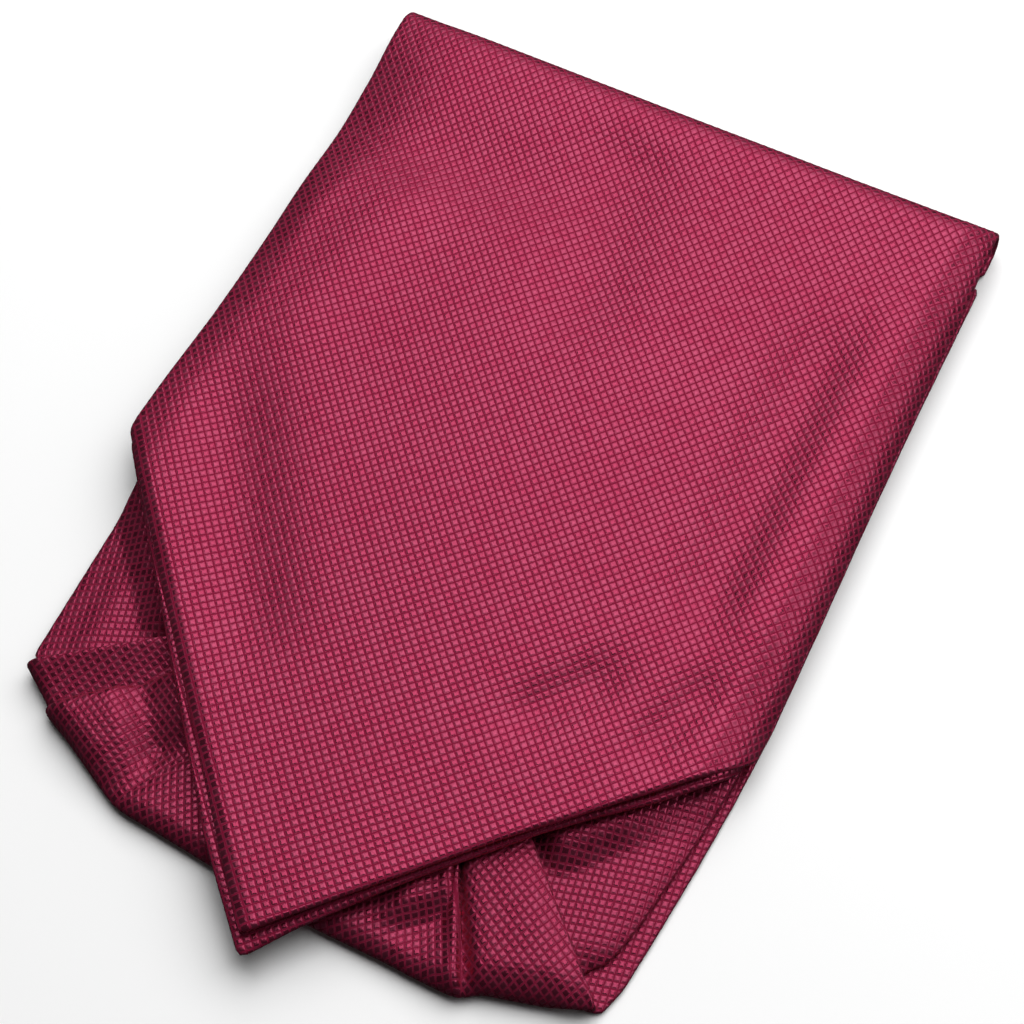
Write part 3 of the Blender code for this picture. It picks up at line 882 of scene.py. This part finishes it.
class Pleat:
    """Flat cloth of a pleat: a across it along the bottom fold, b from its end under the
    fold, round the fold and up over the stack."""

    def __init__(self, name, shape=None):
        rows = PLEATS[name]
        self.rows = np.array(rows, float)
        step = np.hypot(np.diff(self.rows[:, 0]), np.diff(self.rows[:, 1]))
        self.at = np.concatenate([[0.0], np.cumsum(step)])
        self.low = T_PLEAT / 2 + 0.04
        self.mean_radius = (self.rows[:, 4].mean() - self.low) / 2
        self.start = self.mean_radius + T_PLEAT / 2
        runs = np.hypot(self.rows[:, 2] - self.rows[:, 0], self.rows[:, 3] - self.rows[:, 1])
        self.run = runs.mean()
        self.b_under = max(PLEAT_UNDER, self.start + 0.4) - self.start
        self.b_roll = math.pi * self.mean_radius
        self.b_top = self.run - self.start
        self.width = self.at[-1]
        self.length = self.b_under + self.b_roll + self.b_top
        self.shape = shape
        self.angles = PLEAT_WEAVES[name]

    def station(self, a):
        return [spline(self.at, self.rows[:, k], a) for k in range(5)]

    def middle(self, a, b):
        ox, oy, ix, iy, top = self.station(a)
        run = np.hypot(ix - ox, iy - oy)
        dx, dy = (ix - ox) / run, (iy - oy) / run
        radius = (top - self.low) / 2
        start = radius + T_PLEAT / 2
        turn = np.clip((b - self.b_under) / self.b_roll, 0.0, 1.0) * math.pi
        under = np.maximum(0.0, self.b_under - b)
        up = np.maximum(0.0, b - self.b_under - self.b_roll) / self.b_top
        away = start + under - radius * np.sin(turn) + (run - start) * up
        z = self.low + radius * (1 - np.cos(turn))
        p = np.stack([ox + dx * away, oy + dy * away, z], axis=1)
        if self.shape is not None:
            p[:, 2] += self.shape(a / self.width, up) * soft(0.35, 1.0, turn / math.pi)
        return p

    def weave(self, a, b):
        """The squares follow the cloth unrolled flat on the plan."""
        ox, oy, ix, iy, _top = self.station(a)
        share = (b - self.length) / self.run
        x, y = ix + (ix - ox) * share, iy + (iy - oy) * share
        f, g = math.radians(self.angles[0]), math.radians(self.angles[1])
        return ((x * math.cos(f) + y * math.sin(f)) / 1.5,
                (x * math.cos(g) + y * math.sin(g)) / 1.5)

    def outline(self):
        side = np.linspace(0.0, self.width, 15)
        return [(float(s), 0.0) for s in side] + [(float(s), self.length) for s in side[::-1]]


def add_pleat(node, shape=None, **options):
    pleat = Pleat(node, shape)
    item = cloth(node + "_silk", pleat.outline(), pleat.middle, pleat.weave, T_PLEAT,
                 "neck_silk", node, high=0.04, corner=0.35, coarse=(1.6, 1.0),
                 material=neck_silk, ring_step=0.7, **options)
    return item, pleat


def level_line(xs, ys, x):
    """A smooth line through the rows that never swings past them."""
    xs, ys = np.asarray(xs, float), np.asarray(ys, float)
    h = np.diff(xs)
    d = np.diff(ys) / h
    slope = np.concatenate([[d[0]], np.zeros(len(xs) - 2), [d[-1]]])
    for k in range(1, len(xs) - 1):
        if d[k - 1] * d[k] > 0:
            w1, w2 = 2 * h[k] + h[k - 1], h[k] + 2 * h[k - 1]
            slope[k] = (w1 + w2) / (w1 / d[k - 1] + w2 / d[k])
    k = np.clip(np.searchsorted(xs, x) - 1, 0, len(xs) - 2)
    t = np.clip((x - xs[k]) / h[k], 0.0, 1.0)
    return ((1 + 2 * t) * (1 - t) ** 2 * ys[k] + t * (1 - t) ** 2 * h[k] * slope[k]
            + t * t * (3 - 2 * t) * ys[k + 1] + t * t * (t - 1) * h[k] * slope[k + 1])


def neck_sheet(step=0.5):
    rows = np.array(NECK, float)
    at = np.concatenate([[0.0], np.cumsum(np.sqrt(
        np.sum(np.diff(rows[:, [0, 1, 4]], axis=0) ** 2, axis=1)))])
    cols = int(round(at[-1] / step)) + 1
    where = np.linspace(0.0, at[-1], cols)
    line = [level_line(at, rows[:, k], where) for k in range(6)]
    reach = 3
    kernel = np.exp(-0.5 * (np.arange(-reach, reach + 1) * step / 0.45) ** 2)
    kernel /= kernel.sum()

    def smoothed(v):
        ends = np.concatenate([2 * v[0] - v[reach:0:-1], v, 2 * v[-1] - v[-2:-reach - 2:-1]])
        return np.convolve(ends, kernel, mode="valid")

    ox, oy, ix, iy, top, round_off = (smoothed(v) for v in line)
    run = np.hypot(ix - ox, iy - oy)
    dx, dy = (ix - ox) / run, (iy - oy) / run
    lift = 1.5 * soft(60.0, 64.5, ox)
    low, belt, lower_reach = T_PLEAT / 2 + 0.04 + lift, 2.2 + lift, 2.0
    first = T_PLEAT / 2
    profile = []
    for t in np.linspace(1.0, 0.0, 5)[:-1]:
        profile.append((first + lower_reach + 2.0 * t, low))
    for t in np.linspace(0.0, 1.0, 8)[:-1]:
        turn = t * math.pi / 2
        profile.append((first + lower_reach * (1 - math.sin(turn)),
                        belt - (belt - low) * math.cos(turn)))
    for t in np.linspace(0.0, 1.0, 20)[:-1]:
        turn = t * math.pi / 2
        profile.append((first + round_off * (1 - math.cos(turn)),
                        belt + (top - belt) * math.sin(turn)))
    for t in np.linspace(0.0, 1.0, 52):
        profile.append((first + round_off + (run - first - round_off) * t, top + 0 * run))
    away = np.array([np.broadcast_to(s, (cols,)) for s, _z in profile])
    z = np.array([h for _s, h in profile])
    share = np.clip((away - first) / (run - first), 0.0, 1.0) * (z > belt)
    ax, ay = ox + dx * away, oy + dy * away
    # soft wrinkles along the pleats, fewer towards the bottom fold
    z = z + soft(0.05, 0.5, share) * neck_wrinkles(ax, ay)
    in_pleat = 1.0 - soft(-44.0, -37.5, ox)
    z = z + soft(0.05, 0.3, share) * in_pleat * left_pleat(past_left_tip(ax, ay))
    by_ridge = soft(22.0, 31.0, ox) * (1.0 - soft(38.0, 41.5, ox))
    z = z + soft(0.05, 0.3, share) * by_ridge * beside_ridge(past_right_tip(ax, ay))
    middle = np.stack([ax, ay, z], axis=2)
    step_len = np.linalg.norm(np.diff(middle, axis=0), axis=2)
    left = np.vstack([np.cumsum(step_len[::-1], axis=0)[::-1], np.zeros((1, cols))])
    wx, wy = ix - dx * left, iy - dy * left
    weaves = []
    for x_from, x_to, one, two in NECK_STRETCHES:
        c0, c1 = int(np.argmin(np.abs(ox - x_from))), int(np.argmin(np.abs(ox - x_to)))
        f, g = math.radians(one), math.radians(two)
        weaves.append((c0, c1, (wx * math.cos(f) + wy * math.sin(f)) / 1.5,
                       (wx * math.cos(g) + wy * math.sin(g)) / 1.5))
    e1, e2 = np.diff(middle, axis=1)[:-1], np.diff(middle, axis=0)[:, :-1]
    area = float(np.linalg.norm(np.cross(e1, e2), axis=2).sum())
    item = close_grid("neck_front_silk", middle, T_PLEAT, 0.036, weaves,
                      ["neck_panel", "neck_pleat_lower_left", "neck_pleat_ridge",
                       "neck_pleat_right"], neck_silk)
    return item, (float(where[-1]), float(left[0].max()), area)


NECK_FOLDS = [
    ("left pleat swell", -53.5, -80.0, -44.0, -73.0, 4.5, 0.45),
    ("right pleat swell", 56.0, -82.0, 44.0, -68.0, 4.0, 0.25),
    ("right pleat trough", 62.0, -80.0, 47.0, -63.5, 3.0, -0.20),
    ("beside the ridge", 37.5, -88.0, 31.0, -77.0, 2.5, -0.4),
]


def neck_wrinkles(x, y):
    return folds(NECK_FOLDS, x, y)


upper_left, pleat_ul = add_pleat(
    "neck_pleat_upper_left",
    shape=lambda u, v: 0.15 * np.exp(-((u - 0.15) / 0.3) ** 2) * v)
neck_front, neck_cut = neck_sheet()

# ================================================================ hidden layers
CORE = (-53.0, 58.0, -42.0, 92.6)
CORE_LAYERS = [(3.95, 1.2), (4.15, 0.3), (4.65, 0.0), (5.0, 0.5), (5.15, 1.8), (5.35, 1.0),
               (5.75, 0.9), (6.05, 1.5), (6.15, 3.2), (6.35, 2.6), (6.6, 3.0), (6.75, 4.4)]


def core_ring(inset, corner=9.0, around=14):
    left, right, low, high = CORE[0] + inset, CORE[1] - inset, CORE[2] + inset, CORE[3] - inset
    pts = []
    for cx, cy, first in ((right, high, 0), (left, high, 90), (left, low, 180), (right, low, 270)):
        sx = 1 if cx == right else -1
        sy = 1 if cy == high else -1
        for k in range(around):
            t = math.radians(first + 90.0 * k / (around - 1))
            pts.append((cx - sx * corner + corner * math.cos(t),
                        cy - sy * corner + corner * math.sin(t)))
    return even_loop(pts, 2.2)


def hidden_layers():
    base = core_ring(0.0)
    n = len(base)
    centre = base.mean(axis=0)
    verts, face_sets, uv_sets = [], [], []
    k0 = np.arange(n)
    k1 = (k0 + 1) % n
    weave = LOWER_WEAVE
    for z, inset in CORE_LAYERS:
        wob = 0.35 * np.sin(base[:, 0] * 0.11 + z * 3.0) * np.cos(base[:, 1] * 0.07 + z)
        away = base - centre
        away /= np.hypot(*away.T)[:, None]
        p = base - away * (inset + 0.4 + wob)[:, None]
        verts.append(np.column_stack([p, np.full(n, z)]))
    for k in range(len(CORE_LAYERS) - 1):
        f = np.stack([k * n + k0, k * n + k1, (k + 1) * n + k1, (k + 1) * n + k0], axis=1)
        face_sets.append(f)
        flat = np.vstack(verts)[:, :2]
        p, q = weave(flat[:, 0], flat[:, 1])
        uv = np.stack([p, q], axis=1)[f]
        uv[:, 2:, :] += 0.2
        uv_sets.append(uv)
    for level, flip in ((0, True), (len(CORE_LAYERS) - 1, False)):
        ring = verts[level][:, :2]
        pts, tris = coarse_fill(ring, 6.0, 6.0)
        offset = sum(len(v) for v in verts)
        verts.append(np.column_stack([pts, np.full(len(pts), CORE_LAYERS[level][0])]))
        ids = np.concatenate([level * n + k0, offset + np.arange(len(pts))])
        both = np.vstack([ring, pts])
        p, q = weave(both[:, 0], both[:, 1])
        t = tris[:, ::-1] if flip else tris
        face_sets.append(ids[t])
        uv_sets.append(np.stack([p, q], axis=1)[t])
    return finish_mesh("hidden_layers_silk", np.vstack(verts), face_sets, uv_sets,
                       "hidden_layers", lower_silk)


core = hidden_layers()


pleat_ul.outline()

# ================================================================ floor and light
floor_mesh = bpy.data.meshes.new("floor")
floor_mesh.from_pydata([(-3, -3, 0), (3, -3, 0), (3, 3, 0), (-3, 3, 0)], [], [(0, 1, 2, 3)])
floor = bpy.data.objects.new("floor", floor_mesh)
bpy.context.scene.collection.objects.link(floor)
floor.location.z = -0.0003
floor_material = bpy.data.materials.new("pale_floor")
floor_material.use_nodes = True
floor_shader = floor_material.node_tree.nodes["Principled BSDF"]
floor_shader.inputs["Base Color"].default_value = (0.90, 0.90, 0.90, 1.0)
floor_shader.inputs["Roughness"].default_value = 0.9
floor_shader.inputs["Specular IOR Level"].default_value = 0.1
floor_mesh.materials.append(floor_material)
floor.visible_glossy = False
floor.visible_diffuse = False


def softbox(name, toward, distance, size, power, glossy=True, colour=(1.0, 1.0, 1.0)):
    light = bpy.data.lights.new(name, "AREA")
    light.shape = "RECTANGLE"
    light.size, light.size_y = size
    light.energy = power
    light.color = colour
    item = bpy.data.objects.new(name, light)
    way = Vector(toward).normalized()
    item.location = way * distance
    item.rotation_euler = way.to_track_quat("Z", "Y").to_euler()
    item.visible_glossy = glossy
    bpy.context.scene.collection.objects.link(item)
    return item


softbox("key", (-0.13, 0.42, 0.90), 1.2, (1.05, 1.12), 4.15)
softbox("side", (0.76, 0.34, 0.55), 1.2, (0.8, 0.7), 1.8)
softbox("back", (-0.12, 0.93, 0.36), 1.3, (1.5, 0.55), 1.8)
softbox("window", (0.1, 0.5, 0.86), 1.2, (1.4, 1.3), 19.0, glossy=False)
world = bpy.data.worlds.new("studio")
bpy.context.scene.world = world
world.use_nodes = True
world.node_tree.nodes["Background"].inputs[0].default_value = (1.0, 1.0, 1.0, 1.0)
world.node_tree.nodes["Background"].inputs[1].default_value = 0.03
bpy.context.scene.view_settings.view_transform = "Standard"
bpy.context.scene.view_settings.look = "None"
bpy.context.scene.view_settings.exposure = 0.0
bpy.context.scene.view_settings.gamma = 1.0
